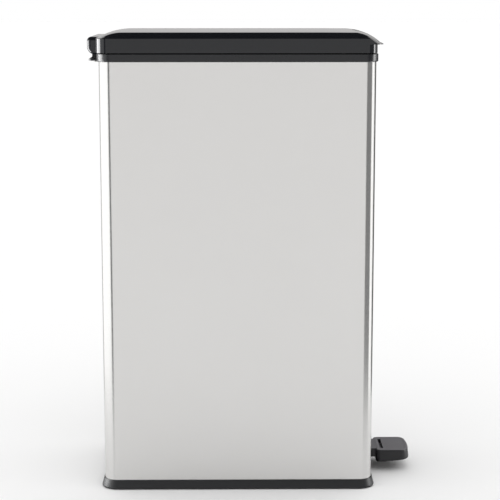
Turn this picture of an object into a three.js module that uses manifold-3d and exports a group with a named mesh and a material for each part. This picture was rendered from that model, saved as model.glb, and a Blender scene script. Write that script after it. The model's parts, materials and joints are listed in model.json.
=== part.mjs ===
// Slim rectangular pedal bin with a steel body, an inner bucket and a lid lifted by a push rod.
// Millimetres. Width is X, the front (pedal side) is -Y, up is +Z, and the floor is Z = 0.
import * as THREE from 'three';
import { mergeVertices } from 'three/addons/utils/BufferGeometryUtils.js';
import Module from 'manifold-3d';

const wasm = await Module();
wasm.setup();

// ---- Driving dimensions --------------------------------------------------------------------
const totalHeight = 670;
const bodyWidth = 236;
const bodyDepth = 396;
const bodyCorner = 20;
const sheet = 0.8;

// Clearances
const seam = 0.3; // left between fixed pieces that meet
const running = 0.1; // radial, where one piece turns or slides in another
const linkPlay = 1.0; // left at the two push contacts of the rod

// Base
const footRadius = 11;
const footInset = 32;
const skirtLift = 1; // of the skirt above the floor
const skirtHeight = 13;
const skirtFlare = 4.4; // outwards of the body, near the floor
const skirtLap = 1.3; // outwards of the body, at its top edge
const skirtEdge = 1.3;
const seatHeight = 5.7; // the body sheet stands on this ledge
const deckBottom = 5;
const deckThickness = 3;
const baseWall = 6;

// Rim
const rimHeight = 11.3;
const rimLap = 2.7;
const rimInset = 6; // inwards of the body
const rimEdge = 2;
const rimGroove = 5.3; // how far the sheet reaches into the rim
const shelfHeight = 3;
const shelfReach = 17; // behind the body

// Lid
const lidHeight = 29.3;
const partingGap = 1.4;
const lidLap = 3;
const lidWall = 2.5;
const lidCorner = 17;
const shoulderHeight = 9;
const shoulderInset = 9;
const lipReach = 7; // of the visor in front of the lid's wall
const lipHeight = 13; // of its tip above the lid's bottom edge
const rearFall = 8; // the lid's top falls this much towards the hinge
const rearFallLength = 43;
const humpRound = 10; // between the hump's top and its back
const humpHalfWidth = 70;
const humpCorner = 6;
const linerLift = 3.3;
const linerThickness = 2;

// Hinge
const pinRadius = 3;
const pinBehind = 8; // the pin's axis behind the body
const pinAboveLidBottom = 7.3;
const knuckleRadius = 11.3; // the hump's round underside about the pin
const earThickness = 7;
const earCentre = 51;
const earRadius = 5;
const earFootReach = 8.5; // of the ear's spread foot behind the pin
const lugCentre = 61;
const lugThickness = 6;
const lidOpenDegrees = 80;

// Pedal and push rod
const axleRadius = 4;
const axleHeight = 24;
const axleInset = 48; // behind the body's front face
const hubRadius = 8;
const leverThickness = 5;
const leverWidth = 44;
const leverTailWidth = 26;
const bracketThickness = 8;
const clipThickness = 2;
const treadGap = 14; // from the body's front face to the tread
const treadDepth = 52;
const treadWidth = 72;
const treadTop = 9.6; // above the axle
const treadRearDrop = 10; // below the axle
const treadFrontDrop = 5;
const treadSlotLength = 47;
const treadSlotWidth = 4.5;
const neckWidth = 52; // of the tread's neck, which passes into the body
const neckDrop = 4; // below the axle
const neckIn = 6; // inside the body's front face
const notchWidth = 58;
const notchHeight = 36;
const rodRadius = 3;
const rodInset = 14; // from the body's rear face to the rod
const hornRadius = 27.5; // from the hinge pin to the horn's tip
const hornTip = 4;
const hornThickness = 12;
const channelHalfWidth = 17;
const channelWall = 1.2;
const bushHeight = 10;

// Bucket and its platform
const platformThickness = 3;
const platformWall = 2.5;
const platformClear = 1.5;
const bucketWall = 2;
const bucketFlange = 4.5;
const bucketTaper = 7;
const bucketCorner = 22;
const gripWidth = 80;
const gripHeight = 22;

// Small fasteners
const screwRadius = 1.5;
const screwHead = 3.2;
const headHeight = 2;

// ---- Values that follow from them ----------------------------------------------------------
const halfDepth = bodyDepth / 2;
const baseTop = skirtLift + skirtHeight;
const deckTop = deckBottom + deckThickness;
const lidBottom = totalHeight - lidHeight;
const rimTop = lidBottom - partingGap;
const rimBottom = rimTop - rimHeight;
const sheetTop = rimBottom + rimGroove - seam;
const pin = { y: halfDepth + pinBehind, z: lidBottom + pinAboveLidBottom };
const hingeReach = pin.y + knuckleRadius;
const pedalReach = halfDepth + treadGap + treadDepth;
const axleY = -(halfDepth - axleInset);
const rodY = halfDepth - rodInset;
const halfOpen = THREE.MathUtils.degToRad(lidOpenDegrees / 2);
const rodStroke = 2 * hornRadius * Math.sin(halfOpen);
const rodReach = rodY - axleY; // the lever's arm from the axle to the rod
const hornY = pin.y - hornRadius * Math.cos(halfOpen);
const hornZ = pin.z - hornRadius * Math.sin(halfOpen);
const rodTop = hornZ - hornTip - linkPlay;
const rodFoot = axleHeight + leverThickness / 2 + linkPlay;
const platformBottom = axleHeight + rodStroke + leverThickness + 1.6;
const platformTop = platformBottom + platformThickness;
const channelFront = rodY - 6.8;
const bucketRear = channelFront - 1.7;
const bucketTop = hornZ - 0.3;

// ---- Shape helpers -------------------------------------------------------------------------
const roundSegments = 24;
const cornerSteps = 4;

// A closed geometry as a solid that can be joined and cut.
function solid(geometry) {
  const bare = geometry.clone();
  bare.deleteAttribute('normal');
  bare.deleteAttribute('uv');
  const merged = mergeVertices(bare);
  return new wasm.Manifold(new wasm.Mesh({
    numProp: 3,
    vertProperties: merged.attributes.position.array,
    triVerts: Uint32Array.from(merged.index.array),
  }));
}

function geometryOf(body) {
  const mesh = body.getMesh();
  const geometry = new THREE.BufferGeometry();
  geometry.setAttribute('position', new THREE.BufferAttribute(mesh.vertProperties, 3));
  geometry.setIndex(new THREE.BufferAttribute(mesh.triVerts, 1));
  geometry.computeVertexNormals();
  return geometry;
}

function roundedRectangle(width, depth, corner) {
  const x = width / 2 - corner;
  const y = depth / 2 - corner;
  const shape = new THREE.Shape();
  shape.absarc(x, y, corner, 0, Math.PI / 2);
  shape.absarc(-x, y, corner, Math.PI / 2, Math.PI);
  shape.absarc(-x, -y, corner, Math.PI, Math.PI * 1.5);
  shape.absarc(x, -y, corner, Math.PI * 1.5, Math.PI * 2);
  return shape;
}

// A rounded rectangle carried up through levels, each [height, outward offset].
function loft(width, depth, corner, levels, y = 0) {
  const last = levels.length - 1;
  const geometry = new THREE.ExtrudeGeometry(roundedRectangle(width, depth, corner), {
    depth: last, steps: last, bevelEnabled: false, curveSegments: cornerSteps,
  });
  const points = geometry.attributes.position;
  const limitX = width / 2 - corner;
  const limitY = depth / 2 - corner;
  for (let i = 0; i < points.count; i++) {
    const [height, offset] = levels[Math.round(points.getZ(i))];
    const centreX = THREE.MathUtils.clamp(points.getX(i), -limitX, limitX);
    const centreY = THREE.MathUtils.clamp(points.getY(i), -limitY, limitY);
    const grow = (corner + offset) / corner;
    points.setXYZ(
      i,
      centreX + (points.getX(i) - centreX) * grow,
      y + centreY + (points.getY(i) - centreY) * grow,
      height,
    );
  }
  return solid(geometry);
}

// The body's own outline, moved outwards by a constant offset between two heights.
function bodyBlock(offset, bottom, top) {
  return loft(bodyWidth, bodyDepth, bodyCorner, [[bottom, offset], [top, offset]]);
}

function box(x0, x1, y0, y1, z0, z1) {
  const geometry = new THREE.BoxGeometry(x1 - x0, y1 - y0, z1 - z0);
  return solid(geometry.translate((x0 + x1) / 2, (y0 + y1) / 2, (z0 + z1) / 2));
}

// An upright prism of a plan outline.
function upright(shape, bottom, top) {
  const settings = { depth: top - bottom, bevelEnabled: false, curveSegments: cornerSteps };
  return solid(new THREE.ExtrudeGeometry(shape, settings).translate(0, 0, bottom));
}

// A side outline, drawn as (Y, Z), carried across the width from x0 to x1.
function across(shape, x0, x1, steps = cornerSteps) {
  const settings = { depth: x1 - x0, bevelEnabled: false, curveSegments: steps };
  const turn = new THREE.Matrix4().makeBasis(
    new THREE.Vector3(0, 1, 0), new THREE.Vector3(0, 0, 1), new THREE.Vector3(1, 0, 0),
  );
  return solid(new THREE.ExtrudeGeometry(shape, settings).applyMatrix4(turn).translate(x0, 0, 0));
}

function cylinderZ(radius, x, y, bottom, top, segments = roundSegments) {
  const geometry = new THREE.CylinderGeometry(radius, radius, top - bottom, segments);
  return solid(geometry.rotateX(Math.PI / 2).translate(x, y, (bottom + top) / 2));
}

function cylinderX(radius, x0, x1, y, z) {
  const geometry = new THREE.CylinderGeometry(radius, radius, x1 - x0, roundSegments);
  return solid(geometry.rotateZ(Math.PI / 2).translate((x0 + x1) / 2, y, z));
}

// The radius whose facets stay outside a shaft of the given radius with the clearance.
function boreRadius(shaft, clearance) {
  return (shaft + clearance) / Math.cos(Math.PI / roundSegments);
}

// A plate across X with a round eye at (y, z) that reaches down (negative) or up to a root.
function eyePlate(radius, rootHalf, y, z, reach, x0, x1) {
  const up = Math.sign(reach);
  const shape = new THREE.Shape();
  shape.moveTo(y - up * rootHalf, z + reach);
  shape.lineTo(y - up * radius, z);
  shape.absarc(y, z, radius, up > 0 ? Math.PI : 0, up > 0 ? Math.PI * 2 : Math.PI);
  shape.lineTo(y + up * rootHalf, z + reach);
  shape.closePath();
  return across(shape, x0, x1);
}

// A turned piece standing on Z, from a profile of [radius, height] points that meets the axis.
function turned(profile) {
  const points = profile.map(([radius, height]) => new THREE.Vector2(radius, height));
  return solid(new THREE.LatheGeometry(points, roundSegments).rotateX(Math.PI / 2));
}

// ---- Finishes ------------------------------------------------------------------------------
function finish(color, roughness, metalness) {
  return { color, roughness, metalness };
}
const steel = finish(0xc9c8c7, 0.32, 1);
const zinc = finish(0xa9abad, 0.4, 1);
const glossBlack = finish(0x17171a, 0.14, 0);
const satinBlack = finish(0x26262a, 0.42, 0);
const greyPlastic = finish(0x4a4b4f, 0.5, 0);
const rubberBlack = finish(0x111112, 0.85, 0);

function add(group, name, look, body, place = [0, 0, 0]) {
  const mesh = new THREE.Mesh(geometryOf(body), new THREE.MeshStandardMaterial(look));
  mesh.name = name;
  mesh.position.set(...place);
  group.add(mesh);
}

// A pan-head screw that points up, its head's underside at Z = 0.
function screw(length) {
  return cylinderZ(screwHead, 0, 0, -headHeight, 0, 16).add(cylinderZ(screwRadius, 0, 0, -0.5, length, 16));
}

function screwHole(x, y, bottom, top) {
  return cylinderZ(screwRadius + seam, x, y, bottom, top, 16);
}

// ---- Base ----------------------------------------------------------------------------------
function baseTray() {
  const skirt = loft(bodyWidth, bodyDepth, bodyCorner, [
    [skirtLift, skirtFlare - skirtEdge],
    [skirtLift + skirtEdge, skirtFlare],
    [baseTop, skirtLap],
  ]);
  const deck = bodyBlock(-sheet - seam, deckBottom, deckTop);
  return skirt
    .subtract(bodyBlock(seam, seatHeight, baseTop + 1))
    .subtract(bodyBlock(-baseWall, 0, deckBottom))
    .add(deck);
}

function foot() {
  const top = deckBottom - seam;
  return turned([[0, 0], [footRadius - 1.5, 0], [footRadius, 1.5], [footRadius, top], [0, top]]);
}

function platform() {
  const front = halfDepth - sheet - platformClear;
  const rear = channelFront - 5;
  const width = bodyWidth - 2 * (sheet + platformClear);
  const depth = front + rear;
  const centre = (rear - front) / 2;
  const corner = bodyCorner - sheet - platformClear;
  const outer = loft(width, depth, corner, [[deckTop + seam, 0], [platformTop, 0]], centre);
  const inner = loft(width, depth, corner, [[0, -platformWall], [platformBottom, -platformWall]], centre);
  const half = notchWidth / 2 + 6;
  const pedalWindow = box(-half, half, -front - 5, -front + 25, 0, notchHeight + 6);
  const tailWindow = box(-leverTailWidth, leverTailWidth, rear - 10, rear + 5, 0, platformBottom);
  return outer.subtract(inner).subtract(pedalWindow).subtract(tailWindow);
}

function buildBase(group) {
  add(group, 'base_tray', satinBlack, baseTray());
  let index = 1;
  for (const y of [-halfDepth + footInset, halfDepth - footInset]) {
    for (const x of [-bodyWidth / 2 + footInset, bodyWidth / 2 - footInset]) {
      add(group, `foot_${index}`, rubberBlack, foot(), [x, y, 0]);
      index += 1;
    }
  }
  add(group, 'bucket_platform', greyPlastic, platform());
}

// ---- Steel body and the channel that guards the rod ----------------------------------------
function outerShell() {
  const bottom = seatHeight + seam;
  const half = notchWidth / 2;
  return bodyBlock(0, bottom, sheetTop)
    .subtract(bodyBlock(-sheet, bottom - 1, sheetTop + 1))
    .subtract(box(-half, half, -halfDepth - 1, -halfDepth + bodyCorner, 0, notchHeight));
}

function rodChannel(bottom, top) {
  const rear = halfDepth - sheet - seam;
  const outer = box(-channelHalfWidth, channelHalfWidth, channelFront, rear, bottom, top);
  const half = channelHalfWidth - channelWall;
  return outer.subtract(box(-half, half, channelFront + channelWall, rear + 1, bottom - 1, top + 1));
}

function rodBush() {
  const half = channelHalfWidth - channelWall - seam;
  const front = channelFront + channelWall + seam - rodY;
  const rear = rodInset - sheet - seam;
  const bore = boreRadius(rodRadius, running);
  return box(-half, half, front, rear, 0, bushHeight).subtract(cylinderZ(bore, 0, 0, -1, bushHeight + 1));
}

function buildBody(group) {
  const channelBottom = platformTop + 13;
  const channelTop = rodTop - 22;
  add(group, 'outer_shell', steel, outerShell());
  add(group, 'rod_channel', zinc, rodChannel(channelBottom, channelTop));
  add(group, 'rod_bush_lower', greyPlastic, rodBush(), [0, rodY, channelBottom + 2]);
  add(group, 'rod_bush_upper', greyPlastic, rodBush(), [0, rodY, channelTop - bushHeight - 2]);
}

// ---- Rim with the hinge shelf --------------------------------------------------------------
function shelfOutline(half, reach, corner) {
  const shape = new THREE.Shape();
  shape.moveTo(-half, halfDepth - 1);
  shape.lineTo(half, halfDepth - 1);
  shape.absarc(half - corner, reach - corner, corner, 0, Math.PI / 2);
  shape.absarc(corner - half, reach - corner, corner, Math.PI / 2, Math.PI);
  shape.closePath();
  return shape;
}

function topRim() {
  const half = humpHalfWidth + 2;
  const ring = loft(bodyWidth, bodyDepth, bodyCorner, [
    [rimBottom, rimLap - rimEdge],
    [rimBottom + rimEdge, rimLap],
    [rimTop, rimLap],
  ]);
  const groove = bodyBlock(seam, rimBottom - 1, rimBottom + rimGroove)
    .subtract(bodyBlock(-sheet - seam, rimBottom - 2, rimTop));
  const shelf = upright(shelfOutline(half, halfDepth + shelfReach, humpCorner), rimBottom, rimBottom + shelfHeight);
  const behindSheet = bodyBlock(rimLap - rimEdge, rimBottom - 1, rimTop);
  const knuckleRoom = box(-half, half, halfDepth - 20, halfDepth + 20, pin.z - knuckleRadius - 1.2, rimTop + 1);
  let rim = ring
    .subtract(bodyBlock(-rimInset, rimBottom - 1, rimTop + 1))
    .subtract(groove)
    .subtract(knuckleRoom)
    .add(shelf.subtract(behindSheet));
  for (const x of [-earCentre, earCentre]) {
    rim = rim.subtract(screwHole(x, pin.y, rimBottom - 1, rimTop));
  }
  return rim;
}

function hingeEar() {
  const root = rimBottom + shelfHeight + seam;
  const half = earThickness / 2;
  const spread = new THREE.Shape();
  spread.moveTo(pin.y, root);
  spread.lineTo(pin.y + earFootReach, root);
  spread.quadraticCurveTo(pin.y + earRadius - 1, root + 1, pin.y + earRadius - 1, root + 7);
  spread.lineTo(pin.y, root + 7);
  spread.closePath();
  return eyePlate(earRadius, earRadius, pin.y, pin.z, root - pin.z, -half, half)
    .add(across(spread, -half, half))
    .subtract(cylinderX(boreRadius(pinRadius, running), -half - 1, half + 1, pin.y, pin.z))
    .subtract(screwHole(0, pin.y, root - 1, root + 7));
}

function buildRim(group) {
  add(group, 'top_rim', satinBlack, topRim());
  for (const [side, x] of [['left', -earCentre], ['right', earCentre]]) {
    add(group, `hinge_ear_${side}`, satinBlack, hingeEar(), [x, 0, 0]);
    add(group, `ear_screw_${side}`, zinc, screw(shelfHeight + 6), [x, pin.y, rimBottom - seam]);
  }
  const pinHalf = lugCentre + lugThickness / 2 + 1;
  add(group, 'hinge_pin', zinc, cylinderX(pinRadius, -pinHalf, pinHalf, pin.y, pin.z));
}

// ---- Lid -----------------------------------------------------------------------------------
// The lid's pieces are drawn from its bottom edge, so Z = 0 there.
const lidPinZ = pinAboveLidBottom;

// The lid's side outline, from its bottom edge to its crown; inset draws the hollow inside.
function lidSide(inset, bottom) {
  const top = lidHeight - inset;
  const rear = halfDepth + lidLap - inset;
  const front = -halfDepth - lidLap + 2 + inset;
  const crownFront = -halfDepth + 26;
  const shape = new THREE.Shape();
  shape.moveTo(front, bottom);
  shape.lineTo(rear, bottom);
  shape.lineTo(rear, top - rearFall);
  shape.quadraticCurveTo(rear - rearFallLength * 0.4, top, rear - rearFallLength, top);
  shape.lineTo(crownFront, top);
  if (inset > 0) {
    shape.bezierCurveTo(crownFront - 10, top, front + 7, lipHeight + 6, front, lipHeight + 2);
  } else {
    const tip = front - lipReach;
    shape.bezierCurveTo(crownFront - 12, top, tip + 12, lipHeight + 6, tip, lipHeight + 1);
    shape.lineTo(tip - 0.8, lipHeight - 0.2);
    shape.lineTo(tip, lipHeight - 1);
    shape.lineTo(front, lipHeight + 0.5);
  }
  shape.closePath();
  return shape;
}

// The lid's plan, rounded at its corners, drawn in over the shoulder towards the crown.
function lidPlan(inset, front, bottom) {
  const rear = halfDepth + lidLap - inset;
  const wallTop = lidHeight - shoulderHeight - inset / 2;
  const levels = [[bottom, 0], [wallTop, 0]];
  for (const share of [0.35, 0.7, 1, 1.2]) {
    levels.push([wallTop + shoulderHeight * share, -shoulderInset * share * share]);
  }
  const width = bodyWidth + 2 * (lidLap - inset);
  return loft(width, front + rear, lidCorner - inset, levels, (rear - front) / 2);
}

function humpSide(inset) {
  const radius = knuckleRadius - inset;
  const rear = pin.y + radius;
  const top = lidHeight - rearFall - inset + 0.2;
  const corner = humpRound - inset;
  const shape = new THREE.Shape();
  shape.moveTo(halfDepth - 6, top);
  shape.lineTo(halfDepth - 6, 2);
  shape.lineTo(pin.y - 4, 2);
  shape.absarc(pin.y, lidPinZ, radius, THREE.MathUtils.degToRad(250), Math.PI * 2);
  shape.absarc(rear - corner, top - corner, corner, 0, Math.PI / 2);
  shape.closePath();
  return shape;
}

function hump(inset) {
  const half = humpHalfWidth - inset;
  const plan = shelfOutline(half, hingeReach - inset, humpCorner - inset);
  const reach = upright(plan, -20, lidHeight).add(box(-half, half, halfDepth - 10, halfDepth, -20, lidHeight));
  return across(humpSide(inset), -half, half, 6).intersect(reach);
}

function lidShell(bosses) {
  const lipFront = halfDepth + lidLap - 2 + lipReach + 1;
  const wallFront = halfDepth + lidLap - 2;
  const half = bodyWidth / 2 + lidLap;
  const visor = across(lidSide(0, 0), -half, half, 6).intersect(lidPlan(0, lipFront, -1));
  const belowLip = lidPlan(0, wallFront, -1).intersect(box(-half, half, -wallFront, halfDepth + 9, 0, lipHeight));
  const aboveLip = visor.intersect(box(-half, half, -lipFront, halfDepth + 9, lipHeight - 1.3, lidHeight + 1));
  const hollow = across(lidSide(lidWall, -1), -half, half, 6).intersect(lidPlan(lidWall, wallFront - lidWall, -2));
  let shell = belowLip.add(aboveLip).add(hump(0)).subtract(hollow).subtract(hump(lidWall));
  for (const x of [-lugCentre, lugCentre]) {
    const x0 = x - lugThickness / 2;
    const x1 = x + lugThickness / 2;
    const reach = lidHeight - rearFall - lidWall + 1 - lidPinZ;
    shell = shell.add(eyePlate(earRadius + 1, earRadius, pin.y, lidPinZ, reach, x0, x1));
    shell = shell.subtract(cylinderX(boreRadius(pinRadius, running), x0 - 1, x1 + 1, pin.y, lidPinZ));
  }
  for (const x of [-earCentre, earCentre]) {
    const slotHalf = earThickness / 2 + 1;
    shell = shell.subtract(box(x - slotHalf, x + slotHalf, halfDepth + 3, hingeReach + 1, -20, lidPinZ + 7.5));
  }
  for (const [x, y] of bosses) {
    const bottom = linerLift + linerThickness + seam;
    shell = shell.add(cylinderZ(4.5, x, y, bottom, lidHeight - 1, 16));
    shell = shell.subtract(screwHole(x, y, 0, bottom + 9));
  }
  return shell;
}

function lidLiner(holes) {
  const margin = lidWall + seam - lidLap;
  const front = halfDepth + lidLap - 2 - lidWall - seam;
  const rear = halfDepth - 2;
  const levels = [[linerLift, 0], [linerLift + linerThickness, 0]];
  let liner = loft(bodyWidth - 2 * margin, front + rear, lidCorner - lidWall, levels, (rear - front) / 2);
  for (const [x, y] of holes) {
    liner = liner.subtract(screwHole(x, y, 0, lidHeight));
  }
  return liner;
}

// The horn hangs under the liner; the rod lifts its round tip.
function lidHorn(top, footFront, footRear, holes) {
  const half = hornThickness / 2;
  const tipZ = hornZ - lidBottom;
  const foot = box(-half - 12, half + 12, footFront, footRear, top - 2, top);
  const shape = new THREE.Shape();
  shape.moveTo(footRear, top - 1);
  shape.lineTo(footFront, top - 1);
  shape.lineTo(hornY - hornTip, tipZ);
  shape.absarc(hornY, tipZ, hornTip, Math.PI, Math.PI * 2);
  shape.closePath();
  let horn = foot.add(across(shape, -half, half));
  for (const [x, y] of holes) {
    horn = horn.subtract(screwHole(x, y, top - 3, top + 1));
  }
  return horn;
}

function buildLid(group) {
  const bossX = bodyWidth / 2 - 28;
  const bossY = halfDepth - 48;
  const bosses = [[-bossX, -bossY], [bossX, -bossY], [-bossX, bossY], [bossX, bossY]];
  const hornFront = hornY - 15;
  const hornRear = hornY + 3;
  const hornX = hornThickness / 2 + 6;
  const hornHoles = [-hornX, hornX].map((x) => [x, (hornFront + hornRear) / 2]);
  const hornTop = linerLift - seam;
  add(group, 'lid_shell', glossBlack, lidShell(bosses));
  add(group, 'lid_liner', greyPlastic, lidLiner([...bosses, ...hornHoles]));
  add(group, 'lid_horn', satinBlack, lidHorn(hornTop, hornFront, hornRear, hornHoles));
  bosses.forEach(([x, y], i) => {
    add(group, `liner_screw_${i + 1}`, zinc, screw(linerThickness + 8), [x, y, linerLift - seam]);
  });
  hornHoles.forEach(([x, y], i) => {
    add(group, `horn_screw_${i + 1}`, zinc, screw(linerThickness + 4), [x, y, hornTop - 2 - seam]);
  });
  const bufferX = bodyWidth / 2 - 3;
  const bufferHeight = linerLift + partingGap - 2 * seam;
  let index = 1;
  for (const y of [-halfDepth + 48, halfDepth - 78]) {
    for (const x of [-bufferX, bufferX]) {
      const pad = cylinderZ(2.8, 0, 0, 0, bufferHeight, 16);
      add(group, `lid_buffer_${index}`, rubberBlack, pad, [x, y, seam - partingGap]);
      index += 1;
    }
  }
}

// ---- Pedal ---------------------------------------------------------------------------------
// The pedal's pieces are drawn from the axle.
const treadRear = -(axleInset + treadGap);
const treadFront = treadRear - treadDepth;
const leverFront = treadFront + 14;

function pedalLever(holes) {
  const wide = leverWidth / 2;
  const thin = leverTailWidth / 2;
  const end = rodReach + 8;
  const plan = new THREE.Shape();
  plan.moveTo(-wide, leverFront);
  plan.lineTo(wide, leverFront);
  plan.lineTo(wide, hubRadius * 2);
  plan.lineTo(thin, rodReach / 3);
  plan.lineTo(thin, end - thin / 2);
  plan.quadraticCurveTo(thin, end, 0, end);
  plan.quadraticCurveTo(-thin, end, -thin, end - thin / 2);
  plan.lineTo(-thin, rodReach / 3);
  plan.lineTo(-wide, hubRadius * 2);
  plan.closePath();
  let lever = upright(plan, -leverThickness / 2, leverThickness / 2)
    .add(cylinderX(hubRadius, -wide, wide, 0, 0))
    .subtract(cylinderX(boreRadius(axleRadius, running), -wide - 1, wide + 1, 0, 0));
  for (const [x, y] of holes) {
    lever = lever.subtract(screwHole(x, y, -leverThickness, leverThickness));
  }
  return lever;
}

function treadPlan() {
  const half = treadWidth / 2;
  const rearCorner = 3;
  const frontCorner = 10;
  const crown = 3.5;
  const cornerEnd = Math.PI * 0.4;
  const cornerY = treadFront + crown + frontCorner * Math.sin(cornerEnd);
  const crownX = half - frontCorner + frontCorner * Math.cos(cornerEnd);
  const shape = new THREE.Shape();
  shape.absarc(half - rearCorner, treadRear - rearCorner, rearCorner, 0, Math.PI / 2);
  shape.absarc(rearCorner - half, treadRear - rearCorner, rearCorner, Math.PI / 2, Math.PI);
  shape.absarc(frontCorner - half, cornerY, frontCorner, Math.PI, Math.PI + cornerEnd);
  shape.quadraticCurveTo(0, treadFront - crown, crownX, treadFront + crown);
  shape.absarc(half - frontCorner, cornerY, frontCorner, -cornerEnd, 0);
  shape.closePath();
  return shape;
}

function pedalTread(holes) {
  const border = 2.2;
  const depth = treadTop + treadRearDrop + 4;
  const block = new THREE.ExtrudeGeometry(treadPlan(), {
    depth: depth - 2 * border, bevelThickness: border, bevelSize: border, bevelOffset: -border,
    bevelSegments: 3, curveSegments: cornerSteps,
  }).translate(0, 0, treadTop - depth + border);
  const side = new THREE.Shape();
  side.moveTo(treadRear + 1, -treadRearDrop);
  side.lineTo(treadRear + 1, treadTop + 1);
  side.lineTo(treadFront - 1, treadTop + 1);
  side.lineTo(treadFront - 1, -treadFrontDrop);
  side.closePath();
  const neckHalf = neckWidth / 2;
  const neckEnd = neckIn - axleInset;
  const neck = box(-neckHalf, neckHalf, treadRear - 5, neckEnd, -neckDrop, treadTop - border / 2);
  const wide = leverWidth / 2 + seam;
  const high = leverThickness / 2 + seam;
  const slotY = treadRear - 9;
  const slotHalf = treadSlotLength / 2;
  const slotFront = slotY - treadSlotWidth / 2;
  const slot = box(-slotHalf, slotHalf, slotFront, slotFront + treadSlotWidth, treadTop - 3.5, treadTop + 1);
  let tread = solid(block)
    .intersect(across(side, -treadWidth, treadWidth))
    .add(neck)
    .subtract(box(-wide, wide, leverFront - seam, neckEnd + 1, -high, high))
    .subtract(slot);
  for (const [x, y] of holes) {
    tread = tread.subtract(screwHole(x, y, -treadRearDrop, 0));
    tread = tread.subtract(cylinderZ(screwHead + 0.5, x, y, -treadRearDrop - 1, -leverThickness / 2 - 2.8, 16));
  }
  return tread;
}

function buildPedal(group) {
  const holes = [-14, 14].map((x) => [x, (treadRear + treadFront) / 2]);
  add(group, 'pedal_lever', zinc, pedalLever(holes));
  add(group, 'pedal_tread', satinBlack, pedalTread(holes));
  holes.forEach(([x, y], i) => {
    const side = i === 0 ? 'left' : 'right';
    add(group, `tread_screw_${side}`, zinc, screw(7), [x, y, -leverThickness / 2 - 3.1]);
  });
}

// The axle and its brackets stay on the deck.
function buildAxle(group) {
  const inner = leverWidth / 2 + 1;
  const outer = inner + bracketThickness;
  const reach = deckTop + seam - axleHeight;
  const axleEnd = outer + seam + clipThickness + 1;
  add(group, 'pedal_axle', zinc, cylinderX(axleRadius, -axleEnd, axleEnd, 0, 0));
  for (const [side, sign] of [['left', -1], ['right', 1]]) {
    const from = sign > 0 ? inner : -outer;
    const bracket = eyePlate(axleRadius + 4, axleRadius + 9, 0, 0, reach, from, from + bracketThickness)
      .subtract(cylinderX(boreRadius(axleRadius, running), -outer - 1, outer + 1, 0, 0));
    add(group, `axle_bracket_${side}`, greyPlastic, bracket);
    const clipFrom = sign > 0 ? outer + seam : -outer - seam - clipThickness;
    const clip = cylinderX(axleRadius + 3, clipFrom, clipFrom + clipThickness, 0, 0)
      .subtract(cylinderX(boreRadius(axleRadius, running), clipFrom - 1, clipFrom + clipThickness + 1, 0, 0));
    add(group, `axle_clip_${side}`, zinc, clip);
  }
}

// ---- Push rod ------------------------------------------------------------------------------
function buildRod(group) {
  const footHeight = 12;
  const headThickness = 6;
  const socket = boreRadius(rodRadius, running);
  const rodBottom = rodFoot + 5;
  const rodEnd = rodTop - 3;
  const footCap = turned([
    [0, rodFoot], [4, rodFoot + 0.5], [7, rodFoot + 2.2], [7, rodFoot + footHeight], [0, rodFoot + footHeight],
  ]).subtract(cylinderZ(socket, 0, 0, rodBottom - seam, rodFoot + footHeight + 1));
  const headCap = loft(18, 13, 3, [[rodTop - headThickness, 0], [rodTop, 0]])
    .subtract(cylinderZ(socket, 0, 0, rodTop - headThickness - 1, rodEnd + seam));
  add(group, 'push_rod', zinc, cylinderZ(rodRadius, 0, 0, rodBottom, rodEnd));
  add(group, 'rod_foot_cap', satinBlack, footCap);
  add(group, 'rod_head_cap', satinBlack, headCap);
}

// ---- Inner bucket --------------------------------------------------------------------------
function innerBucket() {
  const opening = bodyWidth / 2 - rimInset - 3;
  const front = halfDepth - rimInset - 3;
  const width = 2 * (opening - bucketFlange);
  const depth = front + bucketRear - 2 * bucketFlange;
  const centre = (bucketRear - front) / 2;
  const bottom = platformTop + seam;
  const outer = loft(width, depth, bucketCorner, [
    [bottom, -bucketTaper - 2],
    [bottom + 2, -bucketTaper],
    [bucketTop - 4, 0],
    [bucketTop - 4, bucketFlange],
    [bucketTop, bucketFlange],
  ], centre);
  const inner = loft(width, depth, bucketCorner, [
    [bottom + bucketWall, -bucketTaper - bucketWall - 1.5],
    [bottom + bucketWall + 1.5, -bucketTaper - bucketWall],
    [bucketTop + 1, -bucketWall],
  ], centre);
  const grip = new THREE.Shape();
  const gripY = gripWidth / 2 - gripHeight / 2;
  const gripZ = bucketTop - 12 - gripHeight / 2;
  grip.absarc(centre + gripY, gripZ, gripHeight / 2, -Math.PI / 2, Math.PI / 2);
  grip.absarc(centre - gripY, gripZ, gripHeight / 2, Math.PI / 2, Math.PI * 1.5);
  grip.closePath();
  return outer.subtract(inner).subtract(across(grip, -bodyWidth, bodyWidth));
}

// ---- Assembly ------------------------------------------------------------------------------
function place(parent, y, z) {
  const group = new THREE.Group();
  group.position.set(0, y, z);
  parent.add(group);
  return group;
}

// The pedal reaches further forward than the hinge reaches back, so the body stands behind centre.
const bin = new THREE.Group();
const centred = place(bin, (pedalReach - hingeReach) / 2, 0);
buildBase(centred);
buildBody(centred);
buildRim(centred);
buildLid(place(centred, 0, lidBottom));
const axleGroup = place(centred, axleY, axleHeight);
buildAxle(axleGroup);
buildPedal(place(axleGroup, 0, 0));
buildRod(place(centred, rodY, 0));
add(centred, 'inner_bucket', greyPlastic, innerBucket());

export default bin;
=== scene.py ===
"""A slim pedal bin: fine meshes, finishes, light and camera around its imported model.

Lengths are metres. The pedal side is -Y, the width is X and up is +Z.
"""

import json
import logging
import math
from dataclasses import dataclass, field
from enum import Enum
from typing import Callable, Sequence

import bmesh
import bpy
from mathutils import Matrix, Vector

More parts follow.
